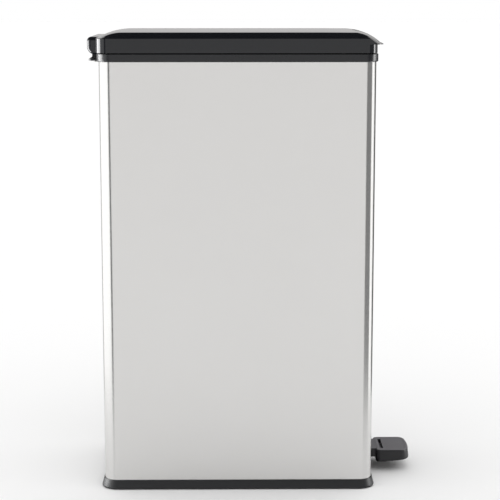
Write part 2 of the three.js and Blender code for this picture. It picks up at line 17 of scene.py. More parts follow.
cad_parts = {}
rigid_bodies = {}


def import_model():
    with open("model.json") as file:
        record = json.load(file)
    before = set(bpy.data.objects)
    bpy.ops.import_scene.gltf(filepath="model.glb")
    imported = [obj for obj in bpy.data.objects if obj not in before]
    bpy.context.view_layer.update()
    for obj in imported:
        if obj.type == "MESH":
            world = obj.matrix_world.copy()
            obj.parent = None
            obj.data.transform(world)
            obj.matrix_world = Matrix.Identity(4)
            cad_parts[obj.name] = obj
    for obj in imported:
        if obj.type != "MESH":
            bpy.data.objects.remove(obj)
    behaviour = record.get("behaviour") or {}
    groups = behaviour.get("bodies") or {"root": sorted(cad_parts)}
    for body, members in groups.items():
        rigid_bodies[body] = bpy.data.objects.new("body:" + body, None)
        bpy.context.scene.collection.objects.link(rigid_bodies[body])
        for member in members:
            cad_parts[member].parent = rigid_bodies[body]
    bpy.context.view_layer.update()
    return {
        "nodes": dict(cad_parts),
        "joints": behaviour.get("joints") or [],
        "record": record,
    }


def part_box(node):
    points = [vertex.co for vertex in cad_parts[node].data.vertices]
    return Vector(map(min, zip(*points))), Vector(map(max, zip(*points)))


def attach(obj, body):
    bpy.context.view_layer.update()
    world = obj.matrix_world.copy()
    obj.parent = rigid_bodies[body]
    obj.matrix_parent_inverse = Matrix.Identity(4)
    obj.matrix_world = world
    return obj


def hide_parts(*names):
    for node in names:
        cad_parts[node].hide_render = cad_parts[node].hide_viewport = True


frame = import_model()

MM = 0.001
ACROSS = Matrix(((0, 0, 1, 0), (1, 0, 0, 0), (0, 1, 0, 0), (0, 0, 0, 1)))  # turns X, Y, Z to Y, Z, X
LOG = logging.getLogger("pedal_bin")


# ---- Modelling ----------------------------------------------------------------------------


class Side(Enum):
    """The end of a form that the next step shapes."""

    TOP = 1
    BOTTOM = -1


class Merge(Enum):
    """What one form does to another."""

    ADD = "UNION"
    CUT = "DIFFERENCE"


def clamp(value: float) -> float:
    """Keep a share between 0 and 1."""
    return min(1.0, max(0.0, value))


def footprint(low: Vector, high: Vector) -> tuple[tuple[float, float], tuple[float, float]]:
    """Look down on a box.

    Args:
        low: The box's lowest corner.
        high: Its highest corner.

    Returns:
        Its width and depth, and the X and Y of its middle.
    """
    return (high.x - low.x, high.y - low.y), ((low.x + high.x) / 2, (low.y + high.y) / 2)


def leave_edit_mode() -> None:
    """Go back to object mode with nothing selected."""
    if bpy.context.object and bpy.context.object.mode != "OBJECT":
        bpy.ops.object.mode_set(mode="OBJECT")
    bpy.ops.object.select_all(action="DESELECT")


class Form:
    """One mesh that is shaped with edit-mode operators, starting from a flat plate."""

    def __init__(self, name: str) -> None:
        """Take over the mesh that has just been added.

        Args:
            name: The piece's name.
        """
        self.object: bpy.types.Object = bpy.context.object
        self.object.name = name
        self.object.data.name = name

    @classmethod
    def plate(cls, name: str, size: tuple[float, float], corner: float, centre: Sequence[float],
              segments: int = 10) -> "Form":
        """Add a flat plate with rounded corners, and stay in edit mode.

        Args:
            name: The piece's name.
            size: Width along X and depth along Y.
            corner: Corner radius, or 0 for square corners.
            centre: Its middle.
            segments: Steps round each corner.

        Returns:
            The form, with its one face selected.
        """
        leave_edit_mode()
        bpy.ops.mesh.primitive_plane_add(size=1.0, enter_editmode=True, location=(0, 0, 0))
        form = cls(name)
        bpy.ops.transform.resize(value=(size[0], size[1], 1.0))
        if corner > 0:
            bpy.ops.mesh.bevel(offset=corner, segments=segments, profile=0.5, affect="VERTICES")
        bpy.ops.mesh.select_all(action="SELECT")
        bpy.ops.transform.translate(value=centre)
        return form

    @classmethod
    def rod(cls, name: str, radius: float, centre: Sequence[float], segments: int = 32) -> "Form":
        """Add a flat round plate, and stay in edit mode.

        Args:
            name: The piece's name.
            radius: Its radius.
            centre: Its middle.
            segments: Sides of the round.

        Returns:
            The form, with its one face selected.
        """
        leave_edit_mode()
        bpy.ops.mesh.primitive_circle_add(
            vertices=segments, radius=radius, fill_type="NGON", enter_editmode=True, location=(0, 0, 0)
        )
        form = cls(name)
        bpy.ops.transform.translate(value=centre)
        return form

    def round_corners(self, radius: float, test: Callable[[Vector], bool], segments: int = 10) -> "Form":
        """Round the corners of a flat plate that pass a test.

        Args:
            radius: The corner radius.
            test: Says by its place whether a corner is wanted.
            segments: Steps round each corner.

        Returns:
            This form, with everything selected.
        """
        bpy.ops.mesh.select_mode(type="VERT")
        bpy.ops.mesh.select_all(action="DESELECT")
        mesh = bmesh.from_edit_mesh(self.object.data)
        for vert in mesh.verts:
            vert.select = test(vert.co)
        mesh.select_flush_mode()
        bmesh.update_edit_mesh(self.object.data)
        bpy.ops.mesh.bevel(offset=radius, segments=segments, profile=0.5, affect="VERTICES")
        bpy.ops.mesh.select_mode(type="FACE")
        bpy.ops.mesh.select_all(action="SELECT")
        return self

    def pick(self, test: Callable[[bmesh.types.BMFace], bool]) -> int:
        """Select only the faces that pass a test.

        Args:
            test: Says whether a face is wanted.

        Returns:
            How many faces are selected.
        """
        bpy.ops.mesh.select_mode(type="FACE")
        bpy.ops.mesh.select_all(action="DESELECT")
        mesh = bmesh.from_edit_mesh(self.object.data)
        chosen = [face for face in mesh.faces if test(face)]
        for face in chosen:
            face.select = True
        mesh.select_flush_mode()
        bmesh.update_edit_mesh(self.object.data)
        return len(chosen)

    def pick_end(self, side: Side) -> None:
        """Select the flat face at one end.

        Args:
            side: Which end.
        """
        bpy.ops.mesh.select_all(action="SELECT")
        bpy.ops.mesh.normals_make_consistent(inside=False)
        mesh = bmesh.from_edit_mesh(self.object.data)
        level = max(vert.co.z * side.value for vert in mesh.verts)
        flat = 1e-6
        self.pick(lambda face: all(abs(v.co.z * side.value - level) < flat for v in face.verts))

    def rise(self, height: float) -> "Form":
        """Extrude the selected face straight up (or down, if negative)."""
        bpy.ops.mesh.extrude_region_move(TRANSFORM_OT_translate={"value": (0, 0, height)})
        return self

    def step(self, inwards: float, outwards: float) -> "Form":
        """Draw the selected face in, and move it along its normal.

        Args:
            inwards: How far its outline moves in.
            outwards: How far it moves along its normal.

        Returns:
            This form.
        """
        bpy.ops.mesh.inset(thickness=inwards, depth=outwards, use_even_offset=True)
        return self

    def round_over(self, radius: float, steps: int = 5) -> "Form":
        """Round the edge of the selected end face with a quarter circle.

        Args:
            radius: The circle's radius.
            steps: Rings of faces round it.

        Returns:
            This form.
        """
        quarter = math.pi / 2
        for index in range(steps):
            start, end = quarter * index / steps, quarter * (index + 1) / steps
            inwards = radius * (math.cos(start) - math.cos(end))
            self.step(inwards, radius * (math.sin(end) - math.sin(start)))
        return self

    def open_through(self, top_width: float, bottom_width: float) -> "Form":
        """Open the form from end to end, leaving a wall round it.

        Args:
            top_width: Flat width left at the top end.
            bottom_width: Flat width left at the bottom end.

        Returns:
            This form.
        """
        for side, width in ((Side.TOP, top_width), (Side.BOTTOM, bottom_width)):
            self.pick_end(side)
            self.step(width, 0.0)
            bpy.ops.mesh.delete(type="ONLY_FACE")
        mesh = bmesh.from_edit_mesh(self.object.data)
        bpy.ops.mesh.select_mode(type="EDGE")
        bpy.ops.mesh.select_all(action="DESELECT")
        for edge in mesh.edges:
            edge.select = edge.is_boundary
        bmesh.update_edit_mesh(self.object.data)
        bpy.ops.mesh.bridge_edge_loops(number_cuts=0)
        return self

    def slice_rows(self, axis: int, places: Sequence[float]) -> "Form":
        """Cut rows of edges across the whole form.

        Args:
            axis: 0 for cuts at X places, 1 for Y, 2 for Z.
            places: Where the cuts are along the axis.

        Returns:
            This form.
        """
        normal = [0.0, 0.0, 0.0]
        normal[axis] = 1.0
        for place in places:
            point = [0.0, 0.0, 0.0]
            point[axis] = place
            bpy.ops.mesh.select_all(action="SELECT")
            bpy.ops.mesh.bisect(plane_co=point, plane_no=normal)
        return self

    def reshape(self, rule: Callable[[Vector], Vector]) -> "Form":
        """Move every vertex to where a rule puts it.

        Args:
            rule: Gives a vertex's new place from its old one.

        Returns:
            This form.
        """
        mesh = bmesh.from_edit_mesh(self.object.data)
        for vert in mesh.verts:
            vert.co = rule(vert.co)
        bmesh.update_edit_mesh(self.object.data)
        return self

    def combine(self, other: "Form", merge: Merge) -> "Form":
        """Add or take away another form, which is used up.

        Args:
            other: The other form.
            merge: Whether it is added or taken away.

        Returns:
            This form.
        """
        for form in (other, self):
            form.tidy()
        modifier = self.object.modifiers.new("Merge", "BOOLEAN")
        modifier.operation = merge.value
        modifier.solver = "EXACT"
        modifier.object = other.object
        bpy.context.view_layer.objects.active = self.object
        bpy.ops.object.modifier_apply(modifier=modifier.name)
        bpy.data.objects.remove(other.object)
        return self

    def soften(self, width: float) -> "Form":
        """Bevel the sharp edges with an applied modifier.

        Args:
            width: Width of the bevel.

        Returns:
            This form.
        """
        leave_edit_mode()
        bpy.context.view_layer.objects.active = self.object
        modifier = self.object.modifiers.new("Soften", "BEVEL")
        modifier.width = width
        modifier.segments = 2
        modifier.limit_method = "ANGLE"
        modifier.angle_limit = math.radians(40)
        bpy.ops.object.modifier_apply(modifier=modifier.name)
        return self

    def turn(self, matrix: Matrix) -> "Form":
        """Turn or move the whole form, keeping its object at the origin.

        Args:
            matrix: The turn or move.

        Returns:
            This form.
        """
        leave_edit_mode()
        self.object.data.transform(matrix)
        return self

    def tidy(self) -> "Form":
        """Merge doubles and point all faces outwards, then leave edit mode."""
        leave_edit_mode()
        self.object.select_set(True)
        bpy.context.view_layer.objects.active = self.object
        bpy.ops.object.mode_set(mode="EDIT")
        bpy.ops.mesh.select_all(action="SELECT")
        bpy.ops.mesh.remove_doubles(threshold=1e-6)
        bpy.ops.mesh.normals_make_consistent(inside=False)
        if bmesh.from_edit_mesh(self.object.data).calc_volume(signed=True) < 0:
            bpy.ops.mesh.flip_normals()
        bpy.ops.object.mode_set(mode="OBJECT")
        return self

    def smooth(self, angle: float = 32.0) -> "Form":
        """Shade smooth except across sharp edges.

        Args:
            angle: Degrees between two faces from which their edge is sharp.

        Returns:
            This form.
        """
        self.tidy()
        bpy.ops.object.shade_smooth_by_angle(angle=math.radians(angle))
        modifier = self.object.modifiers.new("Even", "WEIGHTED_NORMAL")
        modifier.keep_sharp = True
        bpy.ops.object.modifier_apply(modifier=modifier.name)
        return self


def block(name: str, low: Sequence[float], high: Sequence[float], corner: float = 0.0) -> Form:
    """Make an upright block between two corners, in object mode.

    Args:
        name: The piece's name.
        low: Its lowest corner.
        high: Its highest corner.
        corner: Radius of its upright edges.

    Returns:
        The form.
    """
    size, middle = footprint(Vector(low), Vector(high))
    return Form.plate(name, size, corner, (*middle, low[2])).rise(high[2] - low[2]).tidy()


# ---- Shader graph -------------------------------------------------------------------------


class Value:
    """A shader number that Python arithmetic turns into Math nodes."""

    def __init__(self, graph: "Graph", socket: bpy.types.NodeSocket) -> None:
        """Wrap an output socket."""
        self.graph = graph
        self.socket = socket

    def _math(self, operation: str, first: "Number", second: "Number") -> "Value":
        """Add a Math node."""
        node = self.graph.node("ShaderNodeMath", {"operation": operation}, {0: first, 1: second})
        return Value(self.graph, node.outputs[0])

    def __add__(self, other: "Number") -> "Value":
        """Add."""
        return self._math("ADD", self, other)

    __radd__ = __add__

    def __sub__(self, other: "Number") -> "Value":
        """Subtract."""
        return self._math("SUBTRACT", self, other)

    def __rsub__(self, other: "Number") -> "Value":
        """Subtract from a number."""
        return self._math("SUBTRACT", other, self)

    def __mul__(self, other: "Number") -> "Value":
        """Multiply."""
        return self._math("MULTIPLY", self, other)

    __rmul__ = __mul__


Number = float | Value


class Graph:
    """The node tree of one material or of the world."""

    def __init__(self, tree: bpy.types.NodeTree) -> None:
        """Empty the tree and keep it."""
        self.tree = tree
        tree.nodes.clear()

    def node(self, kind: str, settings: dict | None = None, inputs: dict | None = None) -> bpy.types.Node:
        """Add a node.

        Args:
            kind: The node's type.
            settings: Its properties, set before its sockets.
            inputs: Socket names or numbers with their values or links.

        Returns:
            The node.
        """
        node = self.tree.nodes.new(kind)
        for key, value in (settings or {}).items():
            setattr(node, key, value)
        for key, value in (inputs or {}).items():
            if isinstance(value, Value):
                value = value.socket
            if isinstance(value, bpy.types.NodeSocket):
                self.tree.links.new(value, node.inputs[key])
            else:
                node.inputs[key].default_value = value
        return node

    def stretched(self, scale: Sequence[float]) -> bpy.types.NodeSocket:
        """Scale the object coordinates.

        Args:
            scale: The scale along each axis.

        Returns:
            The scaled coordinates.
        """
        coordinates = self.node("ShaderNodeTexCoord")
        inputs = {"Vector": coordinates.outputs["Object"], "Scale": scale}
        return self.node("ShaderNodeMapping", {}, inputs).outputs["Vector"]

    def noise(self, scale: Sequence[float], detail: float = 2.0, roughness: float = 0.5) -> Value:
        """Noise from 0 to 1.

        Args:
            scale: Features per metre along each axis.
            detail: Octaves.
            roughness: Weight of the finer octaves.

        Returns:
            The noise.
        """
        inputs = {"Vector": self.stretched(scale), "Scale": 1.0, "Detail": detail, "Roughness": roughness}
        return Value(self, self.node("ShaderNodeTexNoise", {}, inputs).outputs["Fac"])

    def ramp(self, factor: Value, low: float, high: float) -> Value:
        """Map a stretch of values to 0 to 1, clamped.

        Args:
            factor: The values.
            low: The value that becomes 0.
            high: The value that becomes 1.

        Returns:
            The mapped values.
        """
        inputs = {"Value": factor, "From Min": low, "From Max": high}
        node = self.node("ShaderNodeMapRange", {"interpolation_type": "SMOOTHSTEP"}, inputs)
        return Value(self, node.outputs["Result"])

    def tint(self, factor: Value, first: Sequence[float], second: Sequence[float]) -> bpy.types.NodeSocket:
        """Mix two colours by a value."""
        inputs = {0: factor, 6: (*first, 1.0), 7: (*second, 1.0)}
        return self.node("ShaderNodeMix", {"data_type": "RGBA"}, inputs).outputs[2]

    def bump(self, height: Value, distance: float, strength: float = 1.0) -> bpy.types.NodeSocket:
        """A normal from a height of 0 to 1 times a distance in metres."""
        inputs = {"Height": height, "Distance": distance, "Strength": strength}
        return self.node("ShaderNodeBump", {}, inputs).outputs["Normal"]

    def surface(self, **sockets: object) -> None:
        """Add the surface shader.

        Args:
            **sockets: Values or links of its sockets, named in lower case with underscores.
        """
        names = {key: key.replace("_", " ").title().replace("Ior", "IOR") for key in sockets}
        inputs = {names[key]: value for key, value in sockets.items()}
        shader = self.node("ShaderNodeBsdfPrincipled", {}, inputs)
        self.node("ShaderNodeOutputMaterial", {}, {"Surface": shader.outputs["BSDF"]})


Colour = tuple[float, float, float]


@dataclass(frozen=True)
class BrushedSheet:
    """Stainless sheet with its grain running level round the body."""

    slot: str = "body_steel"
    dark: Colour = (0.645, 0.64, 0.63)
    light: Colour = (0.735, 0.73, 0.72)
    roughness: float = 0.16
    fine_lines: float = 2600.0
    coarse_lines: float = 420.0
    grain_depth: float = 0.008 * MM

    def paint(self, graph: Graph) -> None:
        """Lay the grain lines into colour, roughness and normal.

        Args:
            graph: The material's nodes.
        """
        fine = graph.noise((5.0, 5.0, self.fine_lines), 3.0, 0.6)
        coarse = graph.noise((2.5, 2.5, self.coarse_lines))
        cloud = graph.noise((3.0, 3.0, 2.2))
        grain = fine * 0.6 + coarse * 0.4
        graph.surface(
            base_color=graph.tint(grain, self.dark, self.light),
            metallic=1.0,
            roughness=self.roughness + grain * 0.1 + cloud * 0.05,
            anisotropic=0.8,
            anisotropic_rotation=0.25,
            normal=graph.bump(grain, self.grain_depth),
        )


@dataclass(frozen=True)
class Metal:
    """Plated or plain steel hardware."""

    slot: str = "zinc_steel"
    colour: Colour = (0.62, 0.62, 0.61)
    roughness: float = 0.3
    grain: float = 1500.0
    grain_depth: float = 0.01 * MM

    def paint(self, graph: Graph) -> None:
        """Cloud the plating a little.

        Args:
            graph: The material's nodes.
        """
        cloud = graph.noise((90.0, 90.0, 90.0), 4.0, 0.6)
        dark = tuple(channel * 0.82 for channel in self.colour)
        graph.surface(
            base_color=graph.tint(cloud, dark, self.colour),
            metallic=1.0,
            roughness=self.roughness + cloud * 0.18,
            normal=graph.bump(graph.noise((self.grain,) * 3), self.grain_depth),
        )


@dataclass(frozen=True)
class Moulding:
    """Moulded plastic or rubber, from high gloss to a fine spark-eroded grain."""

    slot: str
    colour: Colour
    roughness: float
    grain: float
    grain_depth: float
    scuff: float = 0.05
    # Painted light: a lighter colour for upward-facing faces, standing in for light falling on the top.
    painted_light_top_colour: Colour | None = None
    top_roughness: float = 0.0

    def paint(self, graph: Graph) -> None:
        """Add grain, faint handling marks and a slow variation of colour.

        Args:
            graph: The material's nodes.
        """
        fine = graph.noise((self.grain,) * 3, 2.0, 0.55)
        cloud = graph.noise((14.0, 14.0, 14.0), 3.0, 0.6)
        marks = graph.ramp(graph.noise((60.0, 25.0, 60.0), 5.0, 0.7), 0.55, 0.8)
        light = tuple(channel * 1.35 + 0.002 for channel in self.colour)
        colour = graph.tint(cloud * 0.6 + fine * 0.4, self.colour, light)
        roughness = self.roughness + marks * self.scuff + (cloud - 0.5) * self.scuff
        # Painted light: faces that point up take the lighter colour, as if lit from above while the sides
        # stay in shade. The added top roughness is a real matte finish.
        if self.painted_light_top_colour:
            normal = graph.node("ShaderNodeTexCoord").outputs["Normal"]
            facing = graph.node("ShaderNodeSeparateXYZ", {}, {0: normal})
            upward = graph.ramp(Value(graph, facing.outputs["Z"]), 0.72, 0.93)
            colour = graph.tint(upward * (0.9 + cloud * 0.1 - marks * 0.05), self.colour, self.painted_light_top_colour)
            roughness = roughness + upward * self.top_roughness
        graph.surface(
            base_color=colour,
            roughness=roughness,
            specular_ior_level=0.42,
            normal=graph.bump(fine, self.grain_depth),
        )


def material_of(name: str, finish: BrushedSheet | Metal | Moulding) -> bpy.types.Material:
    """Make a material from a finish.

    Args:
        name: The material's name.
        finish: What it looks like.

    Returns:
        The material.
    """
    material = bpy.data.materials.new(name)
    material.use_nodes = True
    finish.paint(Graph(material.node_tree))
    return material


class Finishes(Enum):
    """Every finish on the bin."""

    BODY = BrushedSheet()
    ZINC = Metal()
    GLOSS = Moulding("gloss_black", (0.005, 0.0055, 0.007), 0.07, 900.0, 0.001 * MM, 0.03)
    RIM = Moulding("satin_black", (0.005, 0.0055, 0.007), 0.27, 2400.0, 0.006 * MM, 0.06)
    SATIN = Moulding("satin_black", (0.005, 0.0055, 0.0065), 0.42, 2400.0, 0.02 * MM, 0.06)
    # The tread's lighter top colour is painted light from above on its upward faces.
    TREAD = Moulding(
        "satin_black", (0.007, 0.007, 0.0085), 0.4, 2200.0, 0.03 * MM, 0.06, (0.115, 0.112, 0.119), 0.18
    )
    GREY = Moulding("grey_plastic", (0.06, 0.062, 0.067), 0.42, 2000.0, 0.03 * MM)
    RUBBER = Moulding("rubber_black", (0.012, 0.012, 0.012), 0.75, 1800.0, 0.05 * MM)

    @property
    def plastic(self) -> bool:
        """Whether it is moulded."""
        return isinstance(self.value, Moulding)

    def material(self) -> bpy.types.Material:
        """The finish's material, made the first time that it is asked for."""
        name = f"{self.name.lower()}_finish"
        return bpy.data.materials.get(name) or material_of(name, self.value)


def fit(form: Form, body: str, finish: Finishes, *nodes: str) -> None:
    """Dress a finished form, tie it to its moving body and let it stand for model nodes.

    Args:
        form: The finished form.
        body: The body that it moves with.
        finish: Its finish.
        nodes: The model nodes that it takes the place of.
    """
    leave_edit_mode()
    piece = form.object
    piece.data.materials.clear()
    piece.data.materials.append(finish.material())
    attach(piece, body)
    if nodes:
        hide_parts(*nodes)
    LOG.info("%s on %s: %d faces", piece.name, body, len(piece.data.polygons))


# ---- The body and base --------------------------------------------------------------------


@dataclass
class SteelBody:
    """The wrapped sheet, its lever notch and the lock seam up its back."""

    corner: float = 20 * MM
    corner_steps: int = 16
    sheet: float = 0.8 * MM
    notch_width: float = 58 * MM
    notch_height: float = 36 * MM
    notch_corner: float = 4 * MM
    notch_reach: float = 60 * MM
    seam_width: float = 7 * MM
    seam_rise: float = 0.5 * MM
    seam_sink: float = 0.2 * MM
    seam_edge: float = 0.3 * MM
    seam_clear_below: float = 10 * MM
    seam_clear_above: float = 6 * MM

    def build(self) -> None:
        """Model the sheet and its seam."""
        low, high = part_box("outer_shell")
        size, middle = footprint(low, high)
        sheet = Form.plate("steel_body", size, self.corner, (*middle, low.z), self.corner_steps)
        sheet.rise(high.z - low.z).open_through(self.sheet, self.sheet)
        opening = (self.notch_width, 2 * self.notch_height)
        notch = Form.plate("notch", opening, self.notch_corner, (0, 0, -self.notch_reach / 2), 6)
        notch.rise(self.notch_reach).turn(Matrix.Rotation(math.pi / 2, 4, "X"))
        notch.turn(Matrix.Translation((0, low.y, 0)))
        sheet.combine(notch, Merge.CUT).smooth()
        fit(sheet, "can", Finishes.BODY, "outer_shell")
        seam = block(
            "body_seam",
            (-self.seam_width / 2, high.y - self.seam_sink, low.z + self.seam_clear_below),
            (self.seam_width / 2, high.y + self.seam_rise, high.z - self.seam_clear_above),
        )
        seam.soften(self.seam_edge).smooth()
        fit(seam, "can", Finishes.BODY)


@dataclass
class Base:
    """The moulded base: a flared skirt, a lip round the sheet and a deck inside."""

    corner: float = 20 * MM
    corner_steps: int = 14
    flare: float = 4.4 * MM
    top_lap: float = 1.3 * MM
    edge: float = 1.3 * MM
    upright: float = 0.7 * MM
    waist_in: float = 0.4
    waist_up: float = 0.45
    lip: float = 1.0 * MM
    lip_edge: float = 0.4 * MM
    deck: float = 8 * MM
    rail: float = 10 * MM
    recess: float = 4 * MM

    def build(self) -> None:
        """Model the tray from its widest line, up to the lip and down to the floor side."""
        low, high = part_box("base_tray")
        size, middle = footprint(low, high)
        start = low.z + self.edge
        tray = Form.plate("base_skirt", size, self.corner + self.flare, (*middle, start), self.corner_steps)
        narrowing, height = self.flare - self.top_lap, high.z - start
        tray.rise(self.upright)
        tray.step(narrowing * self.waist_in, height * self.waist_up - self.upright)
        tray.step(narrowing * (1 - self.waist_in), height * (1 - self.waist_up) - self.lip_edge)
        tray.round_over(self.lip_edge, 3)
        tray.step(self.lip - self.lip_edge, 0.0)
        tray.rise(self.deck - high.z)
        tray.pick_end(Side.BOTTOM)
        tray.round_over(self.edge)
        tray.step(self.rail, 0.0)
        tray.rise(self.recess)
        tray.smooth()
        fit(tray, "can", Finishes.SATIN, "base_tray")


@dataclass
class Rim:
    """The moulded rim, with a room for the knuckle and a thin shelf behind it."""

    corner: float = 20 * MM
    corner_steps: int = 14
    lap: float = 2.7 * MM
    inset: float = 6 * MM
    lower_edge: float = 2 * MM
    upper_edge: float = 0.6 * MM
    room_height: float = 7.5 * MM
    room_reach: float = 20 * MM
    shelf_half: float = 72 * MM
    shelf_height: float = 3 * MM
    shelf_corner: float = 6 * MM
    shelf_root: float = 4 * MM
    shelf_upper_edge: float = 0.8 * MM
    shelf_lower_edge: float = 0.6 * MM
    shelf_overlap: float = 0.5 * MM

    def build(self) -> None:
        """Model the ring, then cut and extend it at the hinge."""
        low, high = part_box("top_rim")
        shell_low, shell_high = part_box("outer_shell")
        shell_size, middle = footprint(shell_low, shell_high)
        size = (shell_size[0] + 2 * self.lap, shell_size[1] + 2 * self.lap)
        start = low.z + self.lower_edge
        ring = Form.plate("rim_ring", size, self.corner + self.lap, (*middle, start), self.corner_steps)
        ring.rise(high.z - start - self.upper_edge).round_over(self.upper_edge, 3)
        ring.pick_end(Side.BOTTOM)
        ring.round_over(self.lower_edge)
        width = self.lap + self.inset
        ring.open_through(width - self.upper_edge, width - self.lower_edge)
        back = shell_high.y
        room = block(
            "knuckle_room",
            (-self.shelf_half, back - self.room_reach, low.z + self.room_height),
            (self.shelf_half, back + self.room_reach, high.z + 5 * MM),
        )
        ring.combine(room, Merge.CUT).combine(self.shelf(low.z, high.y, back), Merge.ADD).smooth()
        fit(ring, "can", Finishes.RIM, "top_rim")

    def shelf(self, bottom: float, rear: float, back: float) -> Form:
        """Model the shelf and trim what would reach inside the body.

        Args:
            bottom: Height of its underside.
            rear: Y of its rear edge.
            back: Y of the back of the steel body.

        Returns:
            The shelf.
        """
        depth = rear - back + self.shelf_root
        size = (2 * self.shelf_half, depth)
        centre = (0, rear - depth / 2, bottom + self.shelf_lower_edge)
        shelf = Form.plate("shelf", size, self.shelf_corner, centre)
        shelf.rise(self.shelf_height - self.shelf_upper_edge - self.shelf_lower_edge)
        shelf.round_over(self.shelf_upper_edge, 3)
        shelf.pick_end(Side.BOTTOM)
        shelf.round_over(self.shelf_lower_edge, 3)
        inside = block(
            "inside",
            (-self.shelf_half - MM, back - 2 * self.shelf_root, bottom - MM),
            (self.shelf_half + MM, back - self.shelf_overlap, bottom + self.shelf_height + MM),
        )
        return shelf.combine(inside, Merge.CUT)


# ---- The lid ------------------------------------------------------------------------------


@dataclass
class Lid:
    """The glossy lid: walls, shoulder, crown, visor lip and hinge hump."""

    lap: float = 3 * MM
    wall: float = 2.5 * MM
    corner: float = 17 * MM
    corner_steps: int = 12
    height: float = 29.3 * MM
    shoulder: float = 9 * MM
    shoulder_trim: tuple[float, float] = (2.2 * MM, 2.9 * MM)
    lower_bend: tuple[tuple[float, float], ...] = ((0.25, 0.7), (0.65, 0.9))
    upper_bend: tuple[tuple[float, float], ...] = ((0.8, 0.75), (0.9, 0.45), (0.7, 0.1))
    bend_support: float = 0.4 * MM
    bend_start: float = 0.5 * MM
    front_setback: float = 2 * MM
    setback_start: float = -130 * MM
    setback_length: float = 40 * MM
    lip_reach: float = 8 * MM
    lip_height: float = 13 * MM
    lip_above: float = 0.6 * MM
    lip_below: float = 1.2 * MM
    lip_band: float = 0.5 * MM
    lip_nose: float = 1.1 * MM
    nose_start: float = 5 * MM
    nose_length: float = 7 * MM
    rear_fall: float = 8 * MM
    rear_fall_length: float = 31 * MM
    rear_curve: float = 2.1
    front_fall_length: float = 38 * MM
    front_curve: float = 2.2
    side_lead: float = 10 * MM
    crown: float = 0.5 * MM
    columns: tuple[float, ...] = (-0.88, -0.79, -0.68, -0.5, -0.25, 0, 0.25, 0.5, 0.68, 0.79, 0.88)
    front_row: float = 1.2 * MM
    front_rows: int = 33
    middle_rows: tuple[float, ...] = (-100 * MM, 0.0, 100 * MM)
    rear_row: float = 2.5 * MM
    rear_rows: int = 18
    hump_half: float = 70 * MM
    hump_round: float = 6 * MM
    hump_corner: float = 6 * MM
    hump_rise: float = 0.2 * MM
    hump_root: float = 12 * MM
    knuckle: float = 11.3 * MM
    slot_place: float = 51 * MM
    slot_half: float = 4.5 * MM
    slot_above_pin: float = 7.5 * MM
    lug_place: float = 61 * MM
    lug_half: float = 3 * MM
    lug_reach: float = 5 * MM
    lug_above_pin: float = 12 * MM
    half_width: float = field(init=False)
    back: float = field(init=False)
    front: float = field(init=False)
    bottom: float = field(init=False)
    pin: Vector = field(init=False)

    def __post_init__(self) -> None:
        """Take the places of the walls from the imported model."""
        low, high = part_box("outer_shell")
        self.half_width = high.x + self.lap
        self.back = high.y + self.lap
        self.front = low.y - self.lap + self.front_setback
        self.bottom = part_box("lid_shell")[1].z - self.height
        joint = next(joint for joint in frame["joints"] if joint["name"] == "lid_hinge")
        self.pin = Vector(joint["pos_m"])

    def crown_height(self, place: Vector, inset: float) -> float:
        """How high the top is above the lid's bottom edge at a place.

        Args:
            place: The place; only its X and Y count.
            inset: 0 for the outside, or the wall for the hollow inside.

        Returns:
            The height.
        """
        across = place.x / self.half_width
        early = self.side_lead * across ** 4
        tip = self.front - self.lip_reach
        rear_share = clamp((place.y + early - self.back + self.rear_fall_length) / self.rear_fall_length)
        front_share = clamp((tip + self.front_fall_length - place.y + early) / self.front_fall_length)
        top = self.height - inset - self.crown * across * across
        top -= self.rear_fall * rear_share ** self.rear_curve
        return top - (self.height - self.lip_height - self.lip_above) * front_share ** self.front_curve

    def cover(self, name: str, inset: float) -> Form:
        """Model the lid's outside, or the hollow inside it, as one closed form.

        Args:
            name: The form's name.
            inset: 0 for the outside, or the wall for the hollow.

        Returns:
            The form.
        """
        outside = inset == 0
        reach = self.front - self.lip_reach if outside else self.front + inset
        size = (2 * (self.half_width - inset), self.back - inset - reach)
        start = self.bottom if outside else self.bottom - 2 * MM
        centre = (0, (self.back - inset + reach) / 2, start)
        form = Form.plate(name, size, self.corner - inset, centre, self.corner_steps)
        under = self.bottom + self.lip_height - self.lip_below
        bend = self.bottom + self.height - self.shoulder - inset / 2 - self.bend_start
        form.rise(under - start)
        form.rise(self.lip_band)
        form.rise(bend - under - self.bend_support)
        form.rise(self.bend_support)
        for inwards, upwards in self.lower_bend:
            form.step(inwards * MM, upwards * MM)
        form.step(self.shoulder - self.shoulder_trim[0], self.shoulder - self.shoulder_trim[1])
        for inwards, upwards in self.upper_bend:
            form.step(inwards * MM, upwards * MM)
        front_places = [reach + self.front_row * row for row in range(1, self.front_rows + 1)]
        rear_places = [self.back - inset - self.rear_row * row for row in range(1, self.rear_rows + 1)]
        form.slice_rows(1, [*front_places, *self.middle_rows, *rear_places])
        form.slice_rows(0, [self.half_width * share for share in self.columns])
        near = 0.1 * MM

        def rule(point: Vector) -> Vector:
            """Lower the top to the side outline and set the wall back under the lip.

            Args:
                point: A vertex's place.

            Returns:
                Its new place.
            """
            place = point.copy()
            limit = self.bottom + self.crown_height(place, inset)
            place.z = min(place.z, limit)
            if outside and abs(point.z - under - self.lip_band) < near:
                share = clamp((self.front + self.nose_start - point.y) / self.nose_length)
                place.z += (limit - self.lip_nose - place.z) * share
            if outside and point.z < under + near:
                share = clamp((self.setback_start - point.y) / self.setback_length)
                place.y += self.lip_reach * share
            return place

        return form.reshape(rule)

